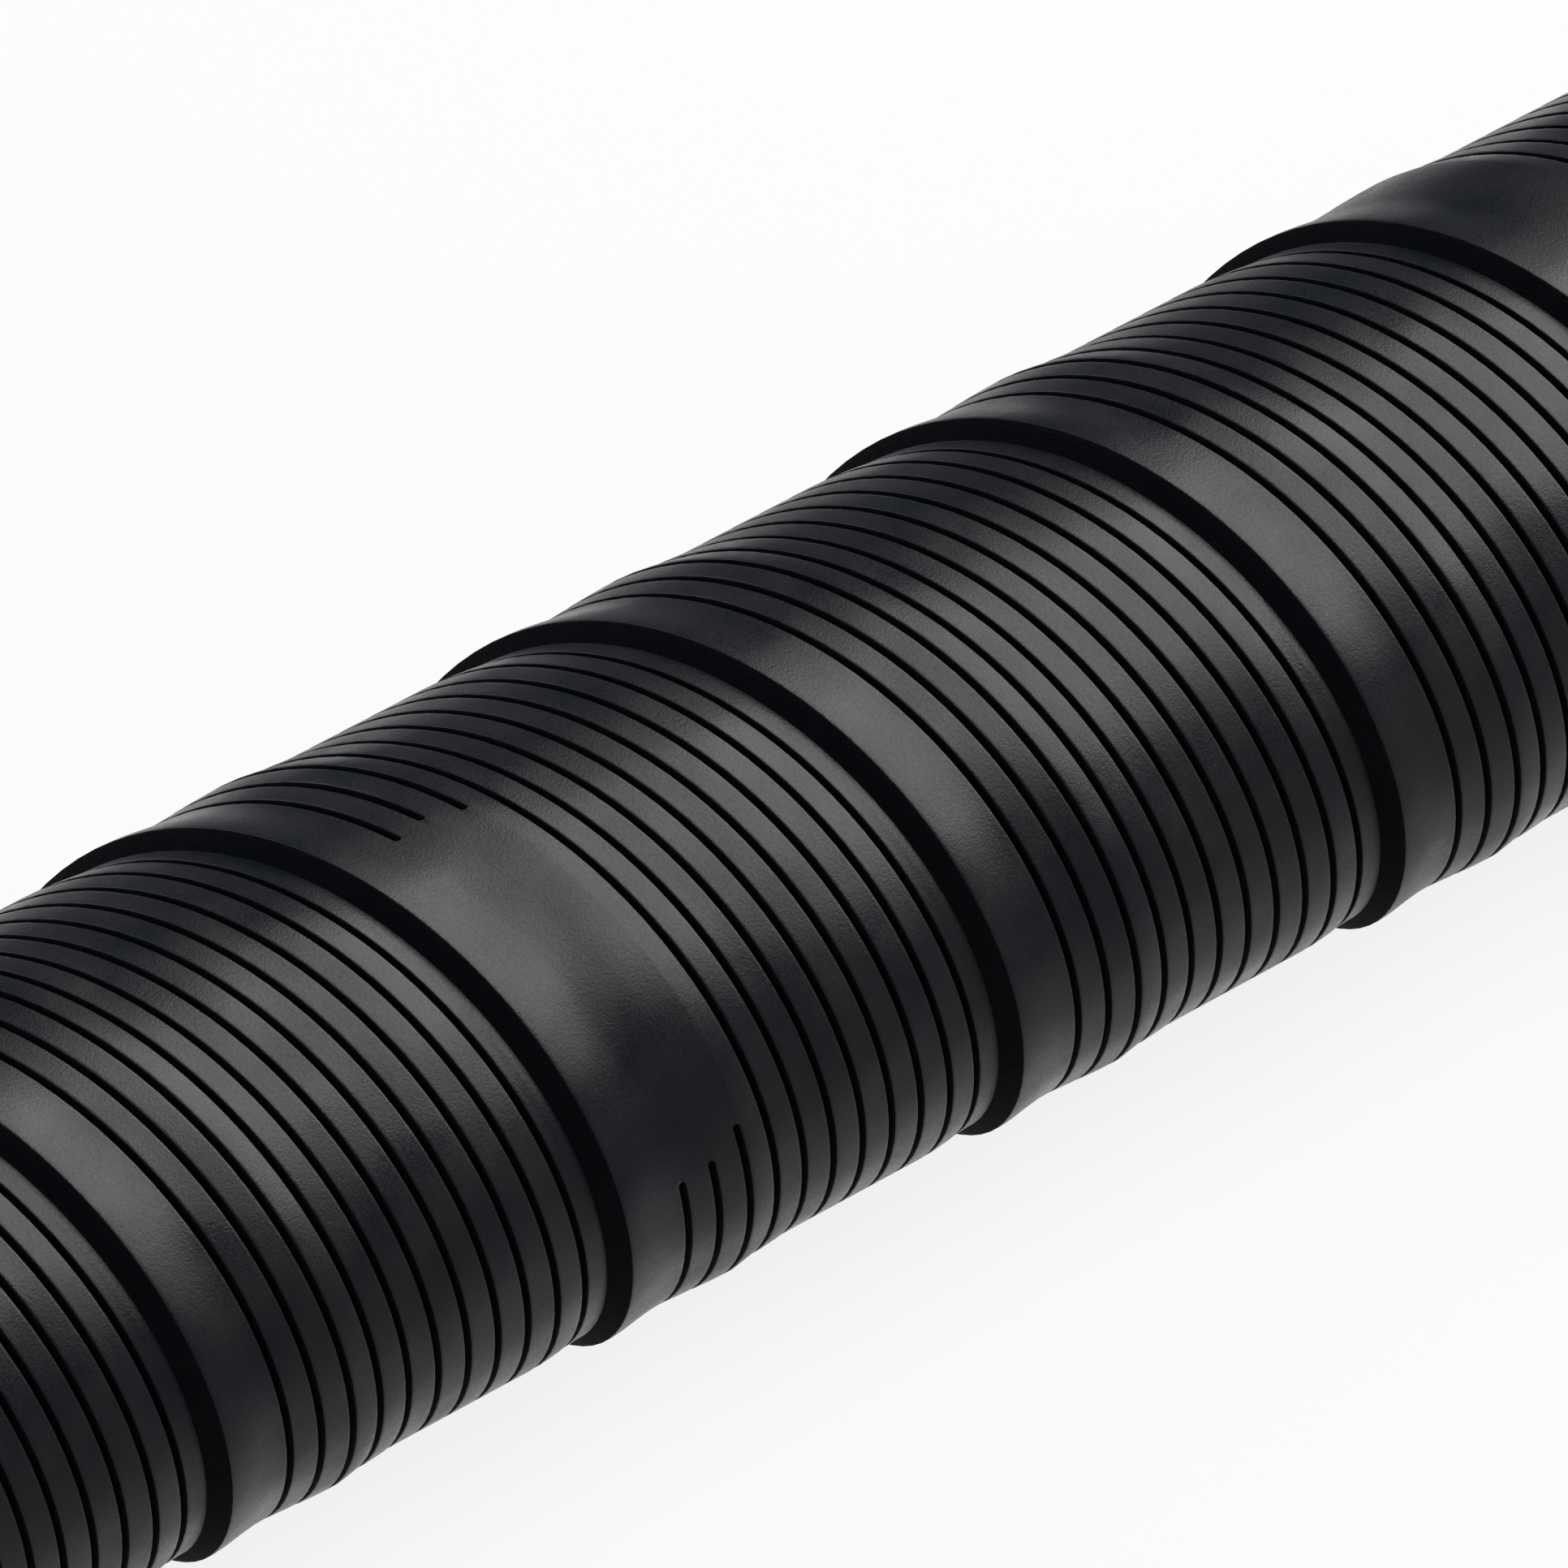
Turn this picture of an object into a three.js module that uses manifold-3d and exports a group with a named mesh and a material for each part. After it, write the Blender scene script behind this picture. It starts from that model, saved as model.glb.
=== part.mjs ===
// Handlebar tape wound on a straight length of bar, with the bar drawn out.
// One ribbed tape runs round and round in a right-handed helix. Each turn covers the far edge
// of the turn before it, so the wound roll is one tube with an open bore.
//
// Units are millimetres, and +Z is up. The roll lies along X on a small flat spot.
// The origin is under its middle, on the surface that it lies on.

import * as THREE from "three";
import { mergeVertices } from "three/addons/utils/BufferGeometryUtils.js";
import Module from "manifold-3d";

// The roll as a whole
const rollLength = 160;
const boreDiameter = 23.9; // a 23.8 mm drop bar and the adhesive strip under the tape
const tapeThickness = 2.0;
const pitch = 23.0; // from one turn's edge to the next, along the bar
const edgeOffset = -11.44; // X where a tape edge crosses the +Y side
const flatSpotDepth = 0.65; // how far the soft underside is pressed in

// The tape's own cross-section, laid on the bar. Heights are above a single layer.
const tapeWidth = 30.7; // square to its edges
const skiveWidth = 0.85; // the slanted cut along the visible edge
const edgeRise = 0.43; // the visible edge, over the turn below it
const saddleRise = 0.14; // the sag between that edge and the hidden one
const crownRise = 0.32; // the swelling just before the hidden edge
const heelRise = 0.13; // at the hidden edge itself
const saddlePlace = 0.35; // both places as shares of the overlap
const crownPlace = 0.84;
const settleLength = 2.3; // from the hidden edge to where the tape lies flat on the bar
const shoulderLength = 3.4; // where the tape dips under the next turn's edge
const footDrop = 0.25;

// The moulded grooves that run along the tape
const firstGroove = 3.52; // from the visible edge
const grooveSpacing = 1.723;
const grooveWidth = 0.43;
const grooveDepth = 0.48;
const edgeLand = 0.9; // the least ridge left between the last groove and the next turn

// The bare patches, where the first grooves stop short of each other
const patchGrooves = 3;
const patchLength = 20.4; // along the tape
const patchRepeat = 259; // along the tape
const patchPlace = -25.5; // X of one patch's middle, on the tape's edge

// How finely the round forms are cut into facets
const stepsPerTurn = 20;
const boreSides = 40;
const trimMargin = 5;

const boreRadius = boreDiameter / 2;
const layerRadius = boreRadius + tapeThickness;
const axisHeight = layerRadius + edgeRise - flatSpotDepth;
const turnLength = Math.hypot(2 * Math.PI * layerRadius, pitch);
const overlap = (tapeWidth * turnLength) / (2 * Math.PI * layerRadius) - pitch;

const wasm = await Module();
wasm.setup();

// Cross-section

// The tape's surface between two edges, as knots of distance from the edge and height.
const knots = [
  [0, edgeRise],
  [overlap * saddlePlace, saddleRise],
  [overlap * crownPlace, crownRise],
  [overlap, heelRise],
  [overlap + settleLength, 0],
  [pitch - skiveWidth - shoulderLength, 0],
  [pitch - skiveWidth, -footDrop],
  [pitch, edgeRise],
];

// The height of the ridges at a distance from the visible edge.
function ridgeHeight(distance) {
  const next = Math.max(1, knots.findIndex(([place]) => place >= distance));
  const [fromPlace, fromHeight] = knots[next - 1];
  const [toPlace, toHeight] = knots[next];
  const share = THREE.MathUtils.smoothstep(distance, fromPlace, toPlace);
  return THREE.MathUtils.lerp(fromHeight, toHeight, share);
}

// The stations where the skin has a line of points along the tape.
// A groove is a V with a station at each lip and one at its bottom.
function tapeStations() {
  const stations = [
    { distance: 0, groove: -1 },
    { distance: overlap * saddlePlace * 0.5, groove: -1 },
  ];
  const lastPlace = pitch - skiveWidth - edgeLand;
  for (let groove = 0; ; groove++) {
    const middle = firstGroove + groove * grooveSpacing;
    if (middle + grooveWidth / 2 > lastPlace) break;
    stations.push({ distance: middle - grooveWidth / 2, groove: -1 });
    stations.push({ distance: middle, groove });
    stations.push({ distance: middle + grooveWidth / 2, groove: -1 });
  }
  stations.push({ distance: pitch - skiveWidth, groove: -1 });
  return stations;
}

// A point of the tape's edge is named by its X, which says how far round it is as well.
function inBarePatch(edgeX) {
  const patchStep = (patchRepeat * pitch) / turnLength;
  const fromPatch = THREE.MathUtils.euclideanModulo(edgeX - patchPlace + patchStep / 2, patchStep);
  const offMiddle = Math.abs(fromPatch - patchStep / 2);
  return (offMiddle * turnLength) / pitch < patchLength / 2;
}

function skinRadius(station, edgeX) {
  const ridge = layerRadius + ridgeHeight(station.distance);
  if (station.groove < 0) return ridge;
  if (station.groove < patchGrooves && inBarePatch(edgeX)) return ridge;
  return ridge - grooveDepth;
}

// Solids

// The wound skin is a stack of rings. Every ring has one point at each station, and each ring
// is turned a little further than the last, so the stations follow the tape round the bar.
function woundBlank() {
  const stations = tapeStations();
  const count = stations.length;
  const steps = Math.ceil((rollLength / pitch) * stepsPerTurn);
  const positions = [];
  const triangles = [];
  for (let ring = 0; ring <= steps; ring++) {
    const x = (ring / steps - 0.5) * rollLength;
    for (const station of stations) {
      const edgeX = x - station.distance;
      const angle = ((edgeX - edgeOffset) / pitch) * 2 * Math.PI;
      const radius = skinRadius(station, edgeX);
      positions.push(x, radius * Math.cos(angle), radius * Math.sin(angle));
    }
  }
  for (let ring = 0; ring < steps; ring++) {
    for (let at = 0; at < count; at++) {
      const here = ring * count + at;
      const beside = ring * count + ((at + 1) % count);
      triangles.push(here, beside + count, beside);
      triangles.push(here, here + count, beside + count);
    }
  }
  const firstCentre = positions.length / 3;
  const lastCentre = firstCentre + 1;
  positions.push(-rollLength / 2, 0, 0, rollLength / 2, 0, 0);
  for (let at = 0; at < count; at++) {
    const beside = (at + 1) % count;
    triangles.push(firstCentre, at, beside);
    triangles.push(lastCentre, steps * count + beside, steps * count + at);
  }
  const blank = new THREE.BufferGeometry();
  blank.setAttribute("position", new THREE.Float32BufferAttribute(positions, 3));
  blank.setIndex(triangles);
  return blank;
}

function boreCore() {
  const flatsToCorners = 1 / Math.cos(Math.PI / boreSides);
  const radius = boreRadius * flatsToCorners;
  const core = new THREE.CylinderGeometry(radius, radius, rollLength + 2 * trimMargin, boreSides);
  return core.rotateZ(Math.PI / 2);
}

// What the flat spot takes away: all that lies lower than the surface under the roll.
function groundBlock() {
  const width = 2 * (layerRadius + trimMargin);
  const block = new THREE.BoxGeometry(rollLength + 2 * trimMargin, width, trimMargin);
  return block.translate(0, 0, -axisHeight - trimMargin / 2);
}

function solidOf(geometry) {
  const bare = geometry.clone();
  bare.deleteAttribute("normal");
  bare.deleteAttribute("uv");
  const merged = mergeVertices(bare, 1e-5);
  return new wasm.Manifold(
    new wasm.Mesh({
      numProp: 3,
      vertProperties: new Float32Array(merged.attributes.position.array),
      triVerts: new Uint32Array(merged.index.array),
    }),
  );
}

function geometryOf(solid) {
  const mesh = solid.getMesh();
  const geometry = new THREE.BufferGeometry();
  geometry.setAttribute("position", new THREE.Float32BufferAttribute(mesh.vertProperties, 3));
  geometry.setIndex(new THREE.Uint32BufferAttribute(mesh.triVerts, 1));
  geometry.computeVertexNormals();
  return geometry;
}

// The part

function tapeWrap() {
  const wound = solidOf(woundBlank()).subtract(solidOf(boreCore())).subtract(solidOf(groundBlock()));
  const rubber = new THREE.MeshStandardMaterial({ color: 0x2b2828, roughness: 0.5, metalness: 0 });
  const mesh = new THREE.Mesh(geometryOf(wound), rubber);
  mesh.name = "tape_wrap";
  mesh.position.z = axisHeight;
  return mesh;
}

const roll = new THREE.Group();
roll.add(tapeWrap());

export default roll;
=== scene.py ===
# Handlebar tape wound in overlapping turns on a straight length of bar, with the bar drawn out.
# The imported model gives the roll's place and length. This script dresses it with the fine skin:
# moulded grooves, the skived edge, the bare patches, the cut ends and the lined bore.
# Lengths are in metres, and MM turns a size in millimetres into metres.

import math
from collections import namedtuple

import bmesh
import bpy
from mathutils import Euler, Matrix, Vector

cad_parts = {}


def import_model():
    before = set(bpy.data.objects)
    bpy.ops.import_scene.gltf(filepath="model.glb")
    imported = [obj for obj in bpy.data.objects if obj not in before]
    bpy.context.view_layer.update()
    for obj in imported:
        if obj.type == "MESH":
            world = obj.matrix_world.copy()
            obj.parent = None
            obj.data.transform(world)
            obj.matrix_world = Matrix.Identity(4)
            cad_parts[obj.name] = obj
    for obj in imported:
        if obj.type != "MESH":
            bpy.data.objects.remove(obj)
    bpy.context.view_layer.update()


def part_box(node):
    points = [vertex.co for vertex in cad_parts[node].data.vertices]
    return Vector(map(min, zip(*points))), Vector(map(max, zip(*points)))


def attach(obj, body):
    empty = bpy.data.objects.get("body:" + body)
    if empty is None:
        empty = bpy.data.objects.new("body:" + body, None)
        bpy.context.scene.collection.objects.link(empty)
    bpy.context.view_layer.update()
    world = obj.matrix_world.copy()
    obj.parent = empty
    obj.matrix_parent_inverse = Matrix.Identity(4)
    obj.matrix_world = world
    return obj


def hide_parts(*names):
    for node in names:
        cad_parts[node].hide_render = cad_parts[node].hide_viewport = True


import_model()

MM = 0.001

# The roll
HALF_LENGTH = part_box("tape_wrap")[1].x
BORE_RADIUS = 11.95 * MM
TAPE_THICKNESS = 2.0 * MM
PITCH = 23.0 * MM
EDGE_OFFSET = -11.44 * MM
FLAT_SPOT_DEPTH = 0.65 * MM
LAYER_RADIUS = BORE_RADIUS + TAPE_THICKNESS
TURN_LENGTH = math.hypot(2 * math.pi * LAYER_RADIUS, PITCH)

# The tape's cross-section. Heights are above a single layer on the bar.
TAPE_WIDTH = 30.7 * MM
OVERLAP = TAPE_WIDTH * TURN_LENGTH / (2 * math.pi * LAYER_RADIUS) - PITCH
SKIVE_WIDTH = 0.85 * MM
EDGE_RISE = 0.43 * MM
SADDLE_RISE = 0.14 * MM
CROWN_RISE = 0.32 * MM
HEEL_RISE = 0.13 * MM
SADDLE_PLACE = 0.35 * OVERLAP
CROWN_PLACE = 0.84 * OVERLAP
SETTLE_LENGTH = 2.3 * MM
SHOULDER_LENGTH = 3.4 * MM
FOOT_DROP = 0.25 * MM
AXIS_HEIGHT = LAYER_RADIUS + EDGE_RISE - FLAT_SPOT_DEPTH

# The smooth band's lines of points: two close behind the edge, and the rest as shares of the
# way to the first groove
EDGE_LINES = [0.06 * MM, 0.22 * MM]
BAND_SHARES = [0.25, 0.5, 0.75]

# The grooves
GROOVE_COUNT = 11
FIRST_GROOVE = 3.52 * MM
GROOVE_SPACING = 1.723 * MM
GROOVE_HALF_WIDTH = 0.21 * MM

# Half a groove's section, as distance from its middle and depth
GROOVE_SECTION = [
    (0.36 * MM, 0.0),
    (0.245 * MM, 0.001 * MM),
    (0.222 * MM, 0.007 * MM),
    (0.205 * MM, 0.03 * MM),
    (0.19 * MM, 0.12 * MM),
    (0.12 * MM, 0.5 * MM),
]

# The skived edge, as distance behind the edge and height
CREASE_PLACE = 0.87 * MM
SKIVE_SECTION = [
    (0.97 * MM, -0.235 * MM),
    (CREASE_PLACE, -0.28 * MM),
    (0.81 * MM, -0.23 * MM),
    (0.5 * MM, 0.07 * MM),
    (0.2 * MM, 0.31 * MM),
    (0.09 * MM, 0.385 * MM),
    (0.02 * MM, 0.42 * MM),
]

# The bare patches: where each of the first grooves stops, measured along the tape
PATCH_PLACE = -25.5 * MM
PATCH_REPEAT = 259 * MM
FIRST_PATCH = -2
LAST_PATCH = 3
PATCH_GAPS = [
    (-10.5 * MM, 10.08 * MM),
    (-10.83 * MM, 9.7 * MM),
    (-10.2 * MM, 8.45 * MM),
]

# The cut ends. The seam between two layers deepens over a share of its length at both its ends.
CHAMFER = 0.12 * MM
SEAM_HALF_WIDTH = 0.05 * MM
SEAM_DEPTH = 0.3 * MM
SEAM_FADE = 0.125

# The seam on the inside, as distance from the hidden edge and depth
BORE_SEAM_SECTION = [
    (-0.5 * MM, 0.0),
    (-0.12 * MM, 0.02 * MM),
    (0.0, 0.25 * MM),
    (0.12 * MM, 0.02 * MM),
    (0.5 * MM, 0.0),
]
BORE_ROWS = 4
BORE_STEPS_PER_TURN = 64

# A groove's round end: how narrow it is at its tip, and how soon the lines beyond spread again
END_PINCH = 0.12
END_SPREAD = 1.0 * MM

# The turns that the skin and the lining are made from, before the ends are cut square
STEPS_PER_TURN = 84
FIRST_TURN = -5
LAST_TURN = 4

# Places that differ by less than this are one place, in metres and in turns
SAME_PLACE = 1e-6
SAME_TURN = 1e-6
# How closely the ends are cut, and how many decimals name a point's place in turns
CUT_TOLERANCE = 1e-8
TURN_DECIMALS = 9


# Cross-section

BROAD_KNOTS = [
    (0.0, EDGE_RISE),
    (SADDLE_PLACE, SADDLE_RISE),
    (CROWN_PLACE, CROWN_RISE),
    (OVERLAP, HEEL_RISE),
    (OVERLAP + SETTLE_LENGTH, 0.0),
    (PITCH - SKIVE_WIDTH - SHOULDER_LENGTH, 0.0),
    (PITCH - SKIVE_WIDTH, -FOOT_DROP),
]


def ridge_height(place):
    """Height of the ridges at a distance from the visible edge, short of the next turn's skive."""
    for (low, low_height), (high, high_height) in zip(BROAD_KNOTS, BROAD_KNOTS[1:]):
        if place <= high:
            share = max(0.0, (place - low) / (high - low))
            share = share * share * (3 - 2 * share)
            return low_height + (high_height - low_height) * share
    return -FOOT_DROP


# A line of points along the tape: its distance from the visible edge, the height of the ridge
# there, and for one in a groove the groove's number, the offset from its middle and the depth.
Row = namedtuple("Row", ["place", "height", "groove", "offset", "depth"], defaults=[None, 0.0, 0.0])


def make_rows():
    """The lines of points across the tape, from the visible edge to the next turn's edge."""
    rows = [Row(place, ridge_height(place)) for place in EDGE_LINES]
    rows += [Row(share * FIRST_GROOVE, ridge_height(share * FIRST_GROOVE)) for share in BAND_SHARES]
    for groove in range(GROOVE_COUNT):
        middle = FIRST_GROOVE + groove * GROOVE_SPACING
        left = [(-offset, depth) for offset, depth in GROOVE_SECTION]
        for offset, depth in left + list(reversed(GROOVE_SECTION)):
            rows.append(Row(middle, ridge_height(middle + offset), groove, offset, depth))
    last_lip = FIRST_GROOVE + (GROOVE_COUNT - 1) * GROOVE_SPACING + GROOVE_SECTION[0][0]
    foot = PITCH - SKIVE_SECTION[0][0]
    halfway = (last_lip + foot) / 2
    rows.append(Row(halfway, ridge_height(halfway)))
    rows += [Row(PITCH - behind, height) for behind, height in SKIVE_SECTION]
    return rows


ROWS = make_rows()


# The helix

def patch_middles():
    """Where the bare patches lie, in turns along the tape."""
    step = PATCH_REPEAT / TURN_LENGTH
    first = (PATCH_PLACE - EDGE_OFFSET) / PITCH
    return [first + number * step for number in range(FIRST_PATCH, LAST_PATCH + 1)]


PATCHES = patch_middles()


# Stands for a place with no groove end near it, in metres
FAR_INSIDE = 1.0


def inside_groove(groove, turns):
    """How far along the tape a point lies inside the groove, from the nearest end of it."""
    nearest = FAR_INSIDE
    if groove is None or groove >= len(PATCH_GAPS):
        return nearest
    start, end = PATCH_GAPS[groove]
    for middle in PATCHES:
        along = (turns - middle) * TURN_LENGTH
        nearest = min(nearest, max(start - along, along - end))
    return nearest


def groove_roundness(inside):
    """How wide a groove is near its round end, as a share, and how deep."""
    if inside <= 0:
        return min(1.0, END_PINCH - inside / END_SPREAD), 0.0
    if inside >= GROOVE_HALF_WIDTH:
        return 1.0, 1.0
    roundness = math.sqrt(1 - (1 - inside / GROOVE_HALF_WIDTH) ** 2)
    return END_PINCH + (1 - END_PINCH) * roundness, roundness


def skin_point(row, turns):
    """A point of the skin, on a row and at a place along the tape."""
    place, height, groove, offset, depth = ROWS[row]
    if depth > 0:
        width_share, depth_share = groove_roundness(inside_groove(groove, turns))
        offset *= width_share
        depth *= depth_share
    angle = 2 * math.pi * turns
    ridge = LAYER_RADIUS + height
    pressed = max(0.0, -AXIS_HEIGHT - ridge * math.sin(angle))
    radius = ridge - depth
    x = EDGE_OFFSET + PITCH * turns + place + offset
    z = AXIS_HEIGHT + radius * math.sin(angle) + pressed
    return Vector((x, radius * math.cos(angle), z))


# Where a groove's round end has points of its own, as distance into the groove
GROOVE_END_STEPS = [-0.5 * MM, 0.0, 0.012 * MM, 0.04 * MM, 0.09 * MM, 0.15 * MM, 0.235 * MM]


def groove_end_turns():
    """Extra places along the tape, in turns, where the groove ends need finer points."""
    extra = []
    for middle in PATCHES:
        for start, end in PATCH_GAPS:
            for step in GROOVE_END_STEPS:
                extra.append(middle + (start - step) / TURN_LENGTH)
                extra.append(middle + (end + step) / TURN_LENGTH)
    return sorted(extra)


EXTRA_TURNS = groove_end_turns()


def is_patch_row(row):
    """Whether a row lies in one of the grooves that stop at the bare patches."""
    groove = ROWS[row].groove
    return groove is not None and groove < len(PATCH_GAPS)


class SkinBuilder:
    """Makes the skin's points once each. A point is named by its row and its place in turns."""

    def __init__(self, mesh):
        self.mesh = mesh
        self.made = {}

    def point(self, row, turns):
        """The point of a row at a place in turns, made when it is first asked for."""
        key = (row, round(turns, TURN_DECIMALS))
        if key not in self.made:
            self.made[key] = self.mesh.verts.new(skin_point(row, turns))
        return self.made[key]

    def line(self, row, start, end):
        """The points of a row from one step to the next, each with its place in turns."""
        turns = [start]
        if is_patch_row(row):
            turns += [t for t in EXTRA_TURNS if start + SAME_TURN < t < end - SAME_TURN]
        return [(t, self.point(row, t)) for t in turns + [end]]

    def fill(self, low, high):
        """The faces between two neighbouring lines, each with the place of its middle."""
        if len(low) == len(high):
            for near, after, beyond, beside in zip(low, low[1:], high[1:], high):
                face = self.mesh.faces.new((near[1], after[1], beyond[1], beside[1]))
                yield face, (near[0] + after[0]) / 2
        else:
            face = self.mesh.faces.new([point for _, point in low + list(reversed(high))])
            yield face, (low[0][0] + low[-1][0]) / 2


# The piece's materials, by number
SKIN, RAW_AND_SHADE, LINING, SHADED_GROOVE, END = range(5)
# The row from which the skive is raw foam darkened with painted shade, and the depth from which a
# groove is matt and darkened with painted shade
RAW_AND_SHADE_FROM = [row.place for row in ROWS].index(PITCH - CREASE_PLACE)
LIP_DEPTH = 0.02 * MM


def material_of(row, turns):
    """Raw foam darkened with painted shade on the skive, a matt finish darkened with painted shade
    down in the grooves, and skin on all the rest.
    """
    if row + 1 == len(ROWS):
        return SKIN
    if row >= RAW_AND_SHADE_FROM:
        return RAW_AND_SHADE
    here = ROWS[row]
    if min(here.depth, ROWS[row + 1].depth) > LIP_DEPTH and inside_groove(here.groove, turns) > 0:
        return SHADED_GROOVE
    return SKIN


def build_skin(mesh):
    """The outside of the roll, a little longer than the roll at both ends."""
    builder = SkinBuilder(mesh)
    count = len(ROWS)
    for step in range(FIRST_TURN * STEPS_PER_TURN, (LAST_TURN + 1) * STEPS_PER_TURN):
        start = step / STEPS_PER_TURN
        end = (step + 1) / STEPS_PER_TURN
        edge_x = EDGE_OFFSET + PITCH * start
        if abs(edge_x + PITCH / 2) > HALF_LENGTH + PITCH:
            continue
        for row in range(count):
            low = builder.line(row, start, end)
            if row + 1 < count:
                high = builder.line(row + 1, start, end)
            else:
                high = builder.line(0, start + 1, end + 1)
            for face, middle in builder.fill(low, high):
                face.material_index = material_of(row, middle)


# Ends and bore

def end_rings(mesh, side):
    """The open borders at one end, the skin's and the lining's, each in order of turn."""
    plane = side * (HALF_LENGTH - CHAMFER)
    open_points = {v for e in mesh.edges if e.is_boundary for v in e.verts}
    border = [v for v in open_points if abs(v.co.x - plane) < SAME_PLACE]
    middle = BORE_RADIUS + TAPE_THICKNESS / 2
    skin = [v for v in border if reach_of(v.co) > middle]
    lining = [v for v in border if reach_of(v.co) <= middle]
    return [sorted(ring, key=lambda v: turn_of(v.co)) for ring in (skin, lining)]


def reach_of(point):
    """How far a point lies from the roll's middle line."""
    return math.hypot(point.y, point.z - AXIS_HEIGHT)


def turn_of(point):
    """The share of a turn at which a point lies, from the +Y side towards +Z."""
    return (math.atan2(point.z - AXIS_HEIGHT, point.y) / (2 * math.pi)) % 1.0


def seam_at(x, turn):
    """Radius and depth of the seam between two layers, where a cut end shows it."""
    place = (x - EDGE_OFFSET - PITCH * turn) % PITCH
    foot = PITCH - SKIVE_WIDTH
    if place > foot:
        place -= PITCH
    full = TAPE_THICKNESS - FOOT_DROP
    if place < OVERLAP:
        share = (place + SKIVE_WIDTH) / (OVERLAP + SKIVE_WIDTH)
        depth = SEAM_DEPTH * min(1.0, share / SEAM_FADE, (1 - share) / SEAM_FADE)
        return BORE_RADIUS + full * math.cos(share * math.pi / 2), depth
    share = (place - OVERLAP) / (foot - OVERLAP)
    return BORE_RADIUS + full * share, 0.0


def build_end(mesh, side):
    """A square cut end: a narrow chamfer, a flat ring of foam and the seam between its layers."""
    outer, inner = end_rings(mesh, side)
    x = side * HALF_LENGTH
    centre = Vector((0, 0, AXIS_HEIGHT))
    low = BORE_RADIUS + CHAMFER
    least = SEAM_HALF_WIDTH / 2
    columns = []
    for vert in outer:
        radial = Vector((0, vert.co.y, vert.co.z - AXIS_HEIGHT))
        high = radial.length - CHAMFER
        radial.normalize()
        seam, depth = seam_at(x, turn_of(vert.co))
        seam = max(low + 2 * least, min(seam, high - 2 * least))
        radii = [
            (high, 0.0),
            (min(seam + SEAM_HALF_WIDTH, high - least), 0.0),
            (seam, depth),
            (max(seam - SEAM_HALF_WIDTH, low + least), 0.0),
            (low, 0.0),
        ]
        columns.append([mesh.verts.new(centre + radial * radius + Vector((x - side * deep, 0, 0)))
                        for radius, deep in radii])
    rings = [outer] + [list(ring) for ring in zip(*columns)]
    for near, far in zip(rings, rings[1:]):
        for at in range(len(near)):
            after = (at + 1) % len(near)
            face = mesh.faces.new((near[at], near[after], far[after], far[at]))
            face.material_index = END
    stitch(mesh, rings[-1], inner)


def with_turns(ring):
    """A ring's points in order of turn, each with its turn, and the first once more at the end."""
    pairs = sorted(((turn_of(v.co), v) for v in ring), key=lambda pair: pair[0])
    return pairs + [(pairs[0][0] + 1, pairs[0][1])]


def stitch(mesh, first, second):
    """Triangles between two rings of points with different spacing, at a cut end."""
    first = with_turns(first)
    second = with_turns(second)
    i = j = 0
    while i + 1 < len(first) or j + 1 < len(second):
        second_done = j + 1 == len(second)
        if second_done or (i + 1 < len(first) and first[i + 1][0] <= second[j + 1][0]):
            corners = (first[i][1], first[i + 1][1], second[j][1])
            i += 1
        else:
            corners = (first[i][1], second[j + 1][1], second[j][1])
            j += 1
        mesh.faces.new(corners).material_index = END


def lining_rows():
    """Lines of points along the tape's underside, as distance from the visible edge and depth."""
    seam = [(OVERLAP + offset, depth) for offset, depth in BORE_SEAM_SECTION]
    left = PITCH - (seam[-1][0] - seam[0][0])
    plain = [(seam[-1][0] + left * share / BORE_ROWS, 0.0) for share in range(1, BORE_ROWS)]
    return seam + plain


def lining_point(row, turns):
    """A point of the lining, on a row of it and at a place along the tape."""
    place, depth = row
    angle = 2 * math.pi * turns
    radius = BORE_RADIUS + depth
    x = EDGE_OFFSET + PITCH * turns + place
    return Vector((x, radius * math.cos(angle), AXIS_HEIGHT + radius * math.sin(angle)))


def build_lining(mesh):
    """The inside of the roll, where the turns meet in a helical seam."""
    rows = lining_rows()
    first = FIRST_TURN * BORE_STEPS_PER_TURN
    last = (LAST_TURN + 1) * BORE_STEPS_PER_TURN
    lines = [[mesh.verts.new(lining_point(row, step / BORE_STEPS_PER_TURN))
              for step in range(first, last + 1)] for row in rows]
    turn_after = lines[0][BORE_STEPS_PER_TURN:]
    for low, high in zip(lines, lines[1:] + [turn_after]):
        for at in range(min(len(low), len(high)) - 1):
            face = mesh.faces.new((low[at], high[at], high[at + 1], low[at + 1]))
            face.material_index = LINING


SHARP_ANGLE = math.radians(48)


def wound_tape():
    """The whole roll, as one closed mesh."""
    mesh = bmesh.new()
    build_skin(mesh)
    build_lining(mesh)
    for side in (-1, 1):
        everything = mesh.verts[:] + mesh.edges[:] + mesh.faces[:]
        cut = Vector((side * (HALF_LENGTH - CHAMFER), 0, 0))
        bmesh.ops.bisect_plane(mesh, geom=everything, dist=CUT_TOLERANCE, plane_co=cut,
                               plane_no=Vector((side, 0, 0)), clear_outer=True)
    for side in (-1, 1):
        build_end(mesh, side)
    bmesh.ops.recalc_face_normals(mesh, faces=mesh.faces)
    data = bpy.data.meshes.new("wound_tape")
    mesh.to_mesh(data)
    mesh.free()
    data.shade_smooth()
    data.set_sharp_from_angle(angle=SHARP_ANGLE)
    piece = bpy.data.objects.new("wound_tape", data)
    bpy.context.scene.collection.objects.link(piece)
    return piece


# Materials

# Where nearly all the values of a noise and of a cell texture lie
NOISE_RANGE = (0.3, 0.7)
CELL_RANGE = (0.0, 0.6)


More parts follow.
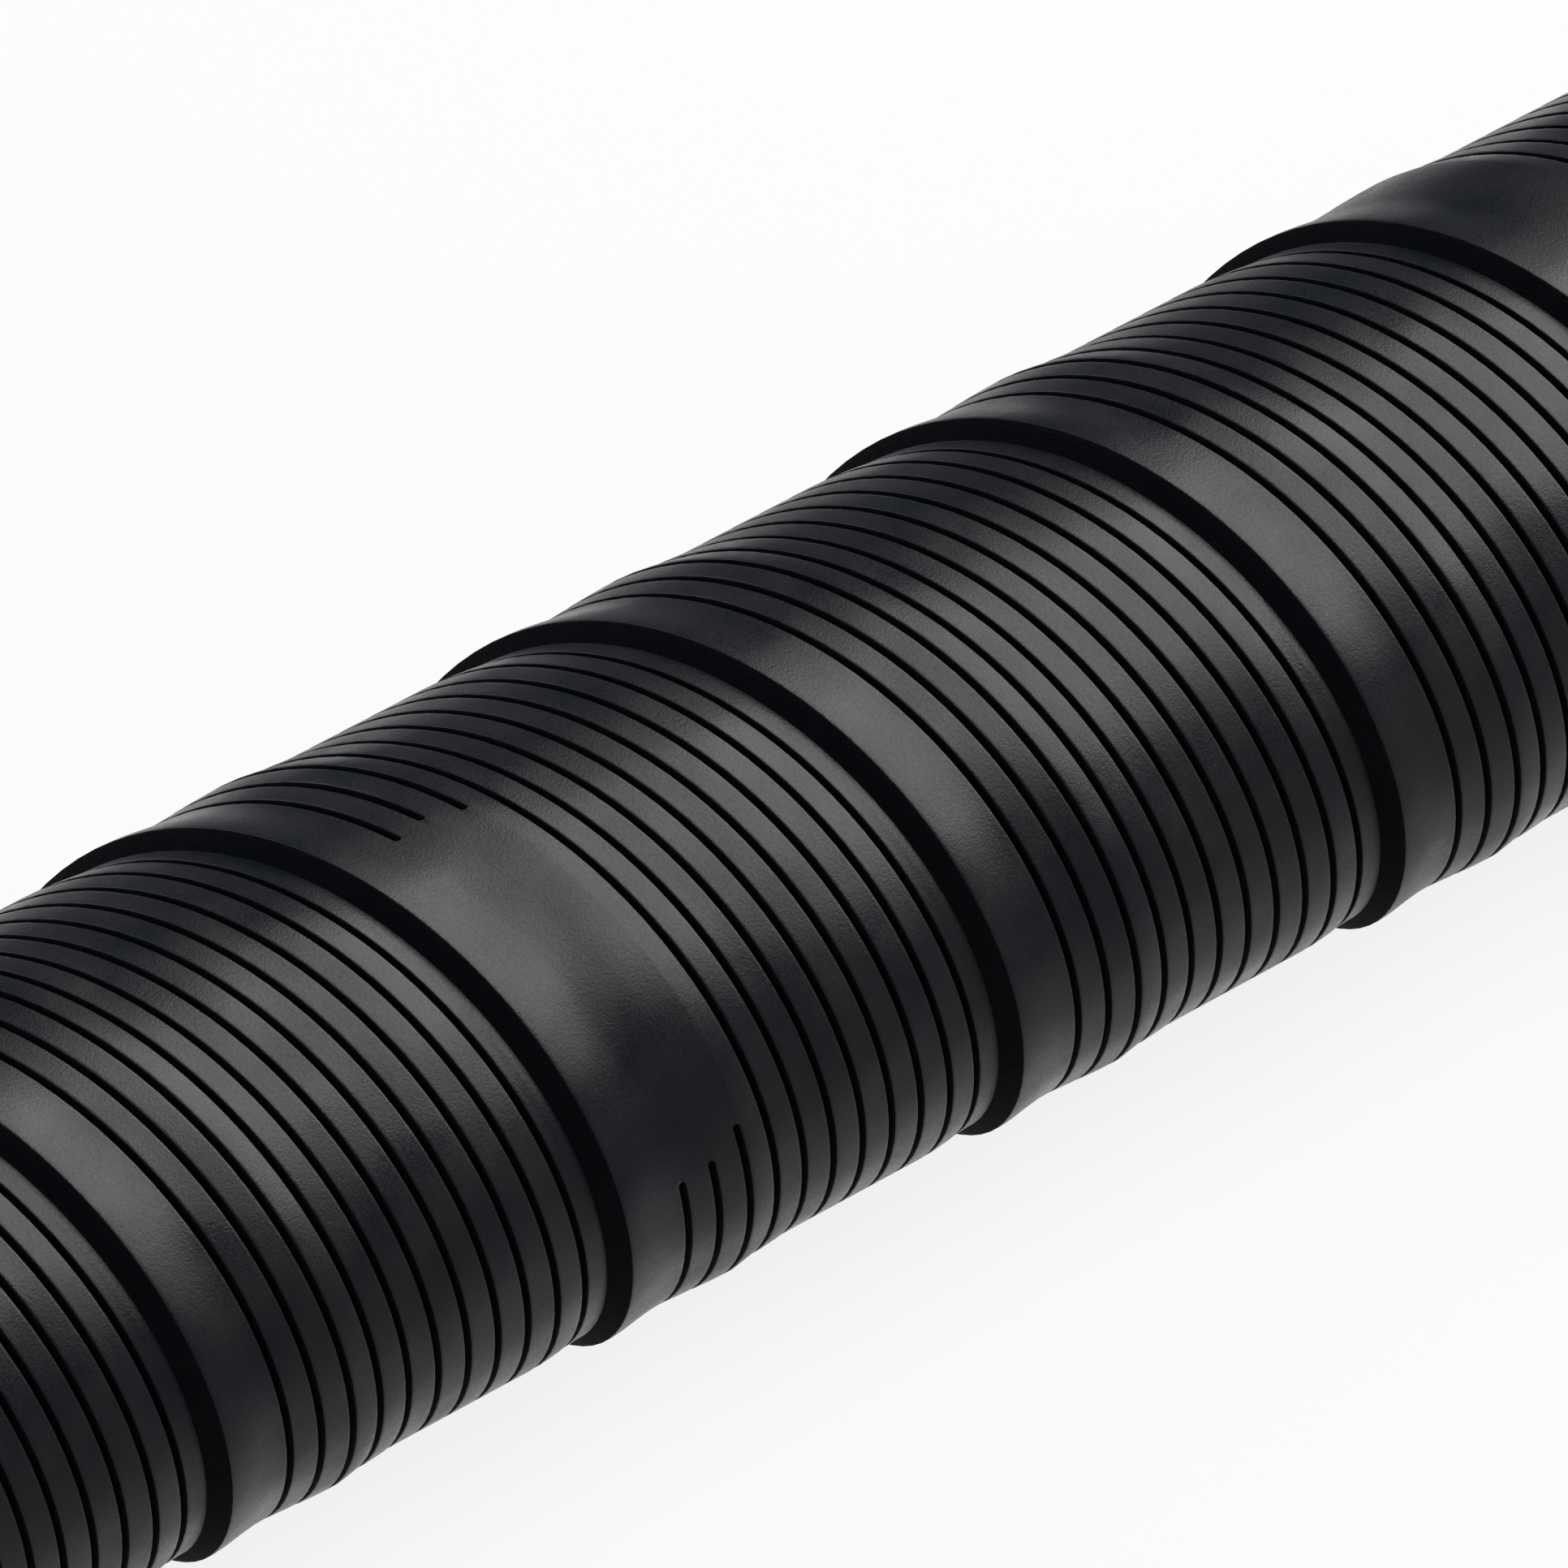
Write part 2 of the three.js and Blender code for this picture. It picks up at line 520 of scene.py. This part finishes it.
class Finish:
    """A material and the procedural textures that it mixes, in the roll's own coordinates."""

    def __init__(self, name, specular):
        self.material = bpy.data.materials.new(name)
        self.material.use_nodes = True
        self.tree = self.material.node_tree
        self.shader = self.tree.nodes["Principled BSDF"]
        self.shader.inputs["Specular IOR Level"].default_value = specular
        self.place = self.tree.nodes.new("ShaderNodeTexCoord").outputs["Object"]

    def blotches(self, size, detail=2.0, roughness=0.5):
        """Cloudy noise whose blotches are about this size."""
        noise = self.tree.nodes.new("ShaderNodeTexNoise")
        noise.inputs["Scale"].default_value = 1 / size
        noise.inputs["Detail"].default_value = detail
        noise.inputs["Roughness"].default_value = roughness
        self.tree.links.new(self.place, noise.inputs["Vector"])
        return noise.outputs["Fac"]

    def pebbles(self, size):
        """Rounded cells of about this size, dark in the middle."""
        cells = self.tree.nodes.new("ShaderNodeTexVoronoi")
        cells.inputs["Scale"].default_value = 1 / size
        self.tree.links.new(self.place, cells.inputs["Vector"])
        return cells.outputs["Distance"]

    def spread(self, value, texture_range, low, high):
        """Turns the range of a texture's values into low to high."""
        spread = self.tree.nodes.new("ShaderNodeMapRange")
        start, end = texture_range
        spread.inputs["From Min"].default_value = start
        spread.inputs["From Max"].default_value = end
        spread.inputs["To Min"].default_value = low
        spread.inputs["To Max"].default_value = high
        self.tree.links.new(value, spread.inputs["Value"])
        return spread.outputs["Result"]

    def sum(self, first, second):
        """Two values added."""
        add = self.tree.nodes.new("ShaderNodeMath")
        add.operation = "ADD"
        self.tree.links.new(first, add.inputs[0])
        self.tree.links.new(second, add.inputs[1])
        return add.outputs[0]

    def colour(self, value, dark, light):
        """The material's colour: dark where the value is 0 and light where it is 1."""
        mix = self.tree.nodes.new("ShaderNodeMix")
        mix.data_type = "RGBA"
        mix.inputs["A"].default_value = (*dark, 1)
        mix.inputs["B"].default_value = (*light, 1)
        self.tree.links.new(value, mix.inputs["Factor"])
        self.tree.links.new(mix.outputs["Result"], self.shader.inputs["Base Color"])

    def roughness(self, value):
        """The material's roughness, from 0 for a mirror to 1 for chalk."""
        self.tree.links.new(value, self.shader.inputs["Roughness"])

    def relief(self, height, depth, strength, under=None):
        """Bump of a given depth, laid over another one if there is one."""
        bump = self.tree.nodes.new("ShaderNodeBump")
        bump.inputs["Strength"].default_value = strength
        bump.inputs["Distance"].default_value = depth
        self.tree.links.new(height, bump.inputs["Height"])
        if under is not None:
            self.tree.links.new(under, bump.inputs["Normal"])
        self.tree.links.new(bump.outputs["Normal"], self.shader.inputs["Normal"])
        return bump.outputs["Normal"]


def skin_material():
    """Satin polyurethane skin: near black, with a fine dry grain and faint cloudy patches."""
    finish = Finish("satin_black_skin", specular=0.4)
    finish.shader.inputs["Sheen Weight"].default_value = 0.09
    finish.shader.inputs["Sheen Roughness"].default_value = 0.21
    clouds = finish.blotches(4 * MM, detail=3)
    waves = finish.blotches(7 * MM, detail=1)
    grain = finish.blotches(0.13 * MM, detail=2, roughness=0.7)
    tint = finish.spread(clouds, NOISE_RANGE, 0, 1)
    finish.colour(tint, dark=(0.0038, 0.0056, 0.0102), light=(0.0090, 0.0089, 0.0114))
    soft = finish.spread(clouds, NOISE_RANGE, 0.3, 0.44)
    fine = finish.spread(grain, NOISE_RANGE, -0.08, 0.08)
    finish.roughness(finish.sum(soft, fine))
    base = finish.relief(waves, depth=0.4 * MM, strength=1.0)
    finish.relief(grain, depth=0.015 * MM, strength=1.0, under=base)
    return finish.material


def raw_foam_and_shade_material():
    """The slanted cut along the tape's edge: pressed foam, black and matt, and darkened further
    with painted shade for the crease and step where it lies.
    """
    finish = Finish("pressed_black_foam_painted_shade", specular=0.05)
    cells = finish.pebbles(0.14 * MM)
    clouds = finish.blotches(1.1 * MM)
    # Painted shade: these colours are darker than the black foam itself, standing in for the shade
    # in the crease and on the step.
    finish.colour(clouds, dark=(0.0015, 0.0019, 0.0029), light=(0.0034, 0.0040, 0.0054))
    finish.roughness(finish.spread(cells, CELL_RANGE, 0.95, 0.8))
    finish.relief(cells, depth=0.05 * MM, strength=0.7)
    return finish.material


def end_material():
    """The square cut ends: open foam, a little paler than the skin, with fine cells."""
    finish = Finish("cut_grey_foam", specular=0.2)
    cells = finish.pebbles(0.22 * MM)
    clouds = finish.blotches(1.1 * MM)
    finish.colour(finish.sum(clouds, cells), dark=(0.024, 0.024, 0.025), light=(0.04, 0.04, 0.041))
    finish.roughness(finish.spread(cells, CELL_RANGE, 0.95, 0.8))
    finish.relief(cells, depth=0.08 * MM, strength=0.8)
    return finish.material


def groove_shade_material():
    """Down in the grooves the skin is matt and takes no shine, and its colour is darkened with
    painted shade.
    """
    finish = Finish("matt_black_groove_painted_shade", specular=0.1)
    clouds = finish.blotches(1.1 * MM)
    # Painted shade: darker than the skin's colour, for the shade down in the grooves.
    finish.colour(clouds, dark=(0.0025, 0.0029, 0.0038), light=(0.0045, 0.0049, 0.006))
    finish.roughness(finish.spread(clouds, NOISE_RANGE, 0.7, 0.85))
    return finish.material


def lining_material():
    """The tape's plain underside, which grips the bar."""
    finish = Finish("plain_black_lining", specular=0.3)
    weave = finish.blotches(0.35 * MM, detail=3, roughness=0.65)
    clouds = finish.blotches(6 * MM)
    finish.colour(clouds, dark=(0.02, 0.02, 0.021), light=(0.032, 0.031, 0.031))
    finish.roughness(finish.spread(weave, NOISE_RANGE, 0.62, 0.8))
    finish.relief(weave, depth=0.04 * MM, strength=0.6)
    return finish.material


# Setting

# The photograph's view: where the camera stands, seen from the roll. The camera looks at a point
# that lies a little above the roll's middle and a little along it. Lens and sensor are in mm.
VIEW_HEADING = math.radians(-43.92)
VIEW_ELEVATION = math.radians(34.93)
VIEW_ROLL = math.radians(0.95)
VIEW_DISTANCE = 1121.5 * MM
VIEW_LENS = 596.3
VIEW_SENSOR = 36
VIEW_RISE = 3.51 * MM
VIEW_ALONG = -0.14 * MM


def camera():
    """The camera, at the photograph's viewing angle."""
    data = bpy.data.cameras.new("camera")
    data.lens = VIEW_LENS
    data.sensor_width = VIEW_SENSOR
    view = bpy.data.objects.new("camera", data)
    level = Euler((math.pi / 2 - VIEW_ELEVATION, 0, VIEW_HEADING)).to_matrix()
    turned = level @ Matrix.Rotation(VIEW_ROLL, 3, "Z")
    view.rotation_euler = turned.to_euler()
    aim = Vector((VIEW_ALONG, 0, AXIS_HEIGHT)) + turned @ Vector((0, VIEW_RISE, 0))
    view.location = aim + turned @ Vector((0, 0, VIEW_DISTANCE))
    bpy.context.scene.collection.objects.link(view)
    bpy.context.scene.camera = view


LAMP_DISTANCE = 1.2


def lamp(name, towards, along, across, level, colour):
    """A soft light that hangs in the direction given, of two half angles: one along the roll's
    axis and one round it. Level 1 lights a white surface that faces it to white."""
    along = math.radians(along)
    across = math.radians(across)
    data = bpy.data.lights.new(name, "AREA")
    data.shape = "RECTANGLE"
    data.size = 2 * LAMP_DISTANCE * math.tan(across)
    data.size_y = 2 * LAMP_DISTANCE * math.tan(along)
    data.energy = level * (math.pi * LAMP_DISTANCE) ** 2 / (math.cos(along) * math.cos(across))
    data.color = colour
    light = bpy.data.objects.new(name, data)
    outwards = Vector(towards).normalized()
    round_axis = Vector((1, 0, 0)).cross(outwards).normalized()
    turned = Matrix((round_axis, outwards.cross(round_axis), outwards)).transposed()
    light.rotation_euler = turned.to_euler()
    light.location = Vector((0, 0, AXIS_HEIGHT)) + outwards * LAMP_DISTANCE
    bpy.context.scene.collection.objects.link(light)


FLOOR_SIZE = 8
FLOOR_COLOUR = (0.9, 0.9, 0.9)
# How much of the floor's look is plain white. The rest is its own shading, with the roll's shadow.
FLOOR_WHITENESS = 0.85
# How bright that white is in the roll's gloss, beside 1 for the camera: dark in front of the
# roll, as in a studio, white under it and behind it, and dimmer further back. Each place is a Y.
GLOSS_PLACES = [
    (-36 * MM, 0.03),
    (-16.5 * MM, 0.42),
    (-13 * MM, 0.58),
    (-9.5 * MM, 1.0),
    (80 * MM, 1.0),
    (140 * MM, 0.25),
]


def gloss_level(tree, place):
    """How bright the floor's white is in the roll's gloss: one straight rise or fall after
    another, from place to place."""
    total = None
    for (start, low), (end, high) in zip(GLOSS_PLACES, GLOSS_PLACES[1:]):
        rise = tree.nodes.new("ShaderNodeMapRange")
        rise.inputs["From Min"].default_value = start
        rise.inputs["From Max"].default_value = end
        rise.inputs["To Min"].default_value = low if total is None else 0
        rise.inputs["To Max"].default_value = high if total is None else high - low
        tree.links.new(place, rise.inputs["Value"])
        if total is None:
            total = rise.outputs["Result"]
            continue
        both = tree.nodes.new("ShaderNodeMath")
        both.operation = "ADD"
        tree.links.new(total, both.inputs[0])
        tree.links.new(rise.outputs["Result"], both.inputs[1])
        total = both.outputs[0]
    return total


def floor():
    """A pale floor that is near white for the camera and in gloss, and keeps the roll's shadow."""
    bpy.ops.mesh.primitive_plane_add(size=FLOOR_SIZE)
    plane = bpy.context.object
    plane.name = "floor"
    material = bpy.data.materials.new("pale_floor")
    material.use_nodes = True
    tree = material.node_tree
    tree.nodes.clear()
    output = tree.nodes.new("ShaderNodeOutputMaterial")
    matte = tree.nodes.new("ShaderNodeBsdfDiffuse")
    matte.inputs["Color"].default_value = (*FLOOR_COLOUR, 1)
    white = tree.nodes.new("ShaderNodeEmission")
    path = tree.nodes.new("ShaderNodeLightPath")
    seen = path.outputs["Is Camera Ray"]
    for ray in ("Is Glossy Ray", "Is Transmission Ray"):
        either = tree.nodes.new("ShaderNodeMath")
        either.operation = "MAXIMUM"
        tree.links.new(seen, either.inputs[0])
        tree.links.new(path.outputs[ray], either.inputs[1])
        seen = either.outputs[0]
    share = tree.nodes.new("ShaderNodeMath")
    share.operation = "MULTIPLY"
    share.inputs[1].default_value = FLOOR_WHITENESS
    tree.links.new(seen, share.inputs[0])
    place = tree.nodes.new("ShaderNodeTexCoord")
    axes = tree.nodes.new("ShaderNodeSeparateXYZ")
    tree.links.new(place.outputs["Object"], axes.inputs[0])
    glow = gloss_level(tree, axes.outputs["Y"])
    strength = tree.nodes.new("ShaderNodeMix")
    strength.inputs["A"].default_value = 1
    tree.links.new(path.outputs["Is Glossy Ray"], strength.inputs["Factor"])
    tree.links.new(glow, strength.inputs["B"])
    tree.links.new(strength.outputs["Result"], white.inputs["Strength"])
    mix = tree.nodes.new("ShaderNodeMixShader")
    tree.links.new(share.outputs[0], mix.inputs["Fac"])
    tree.links.new(matte.outputs[0], mix.inputs[1])
    tree.links.new(white.outputs[0], mix.inputs[2])
    tree.links.new(mix.outputs[0], output.inputs["Surface"])
    plane.data.materials.append(material)


WORLD_LEVEL = 0.08
WORLD_COLOUR = (0.76, 0.88, 1)


def world():
    """Dim, cool surroundings, which leave the light to the lamps."""
    surroundings = bpy.data.worlds.new("surroundings")
    surroundings.use_nodes = True
    background = surroundings.node_tree.nodes["Background"]
    background.inputs["Color"].default_value = (*WORLD_COLOUR, 1)
    background.inputs["Strength"].default_value = WORLD_LEVEL
    bpy.context.scene.world = surroundings


# The scene

camera()
piece = wound_tape()
# In the order of the materials' numbers
for make in (skin_material, raw_foam_and_shade_material, lining_material, groove_shade_material, end_material):
    piece.data.materials.append(make())
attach(piece, "root")
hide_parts("tape_wrap")
floor()
world()
lamp("softbox", (0.72, -0.238, 0.652), along=27, across=30, level=1.12, colour=(1, 0.945, 0.91))
lamp("back_fill", (-0.15, 0.86, 0.5), along=25, across=25, level=0.33, colour=(0.86, 0.93, 1))
lamp("side_fill", (-0.85, -0.3, 0.45), along=20, across=20, level=0.25, colour=(0.9, 0.95, 1))
bpy.context.scene.view_settings.view_transform = "Standard"
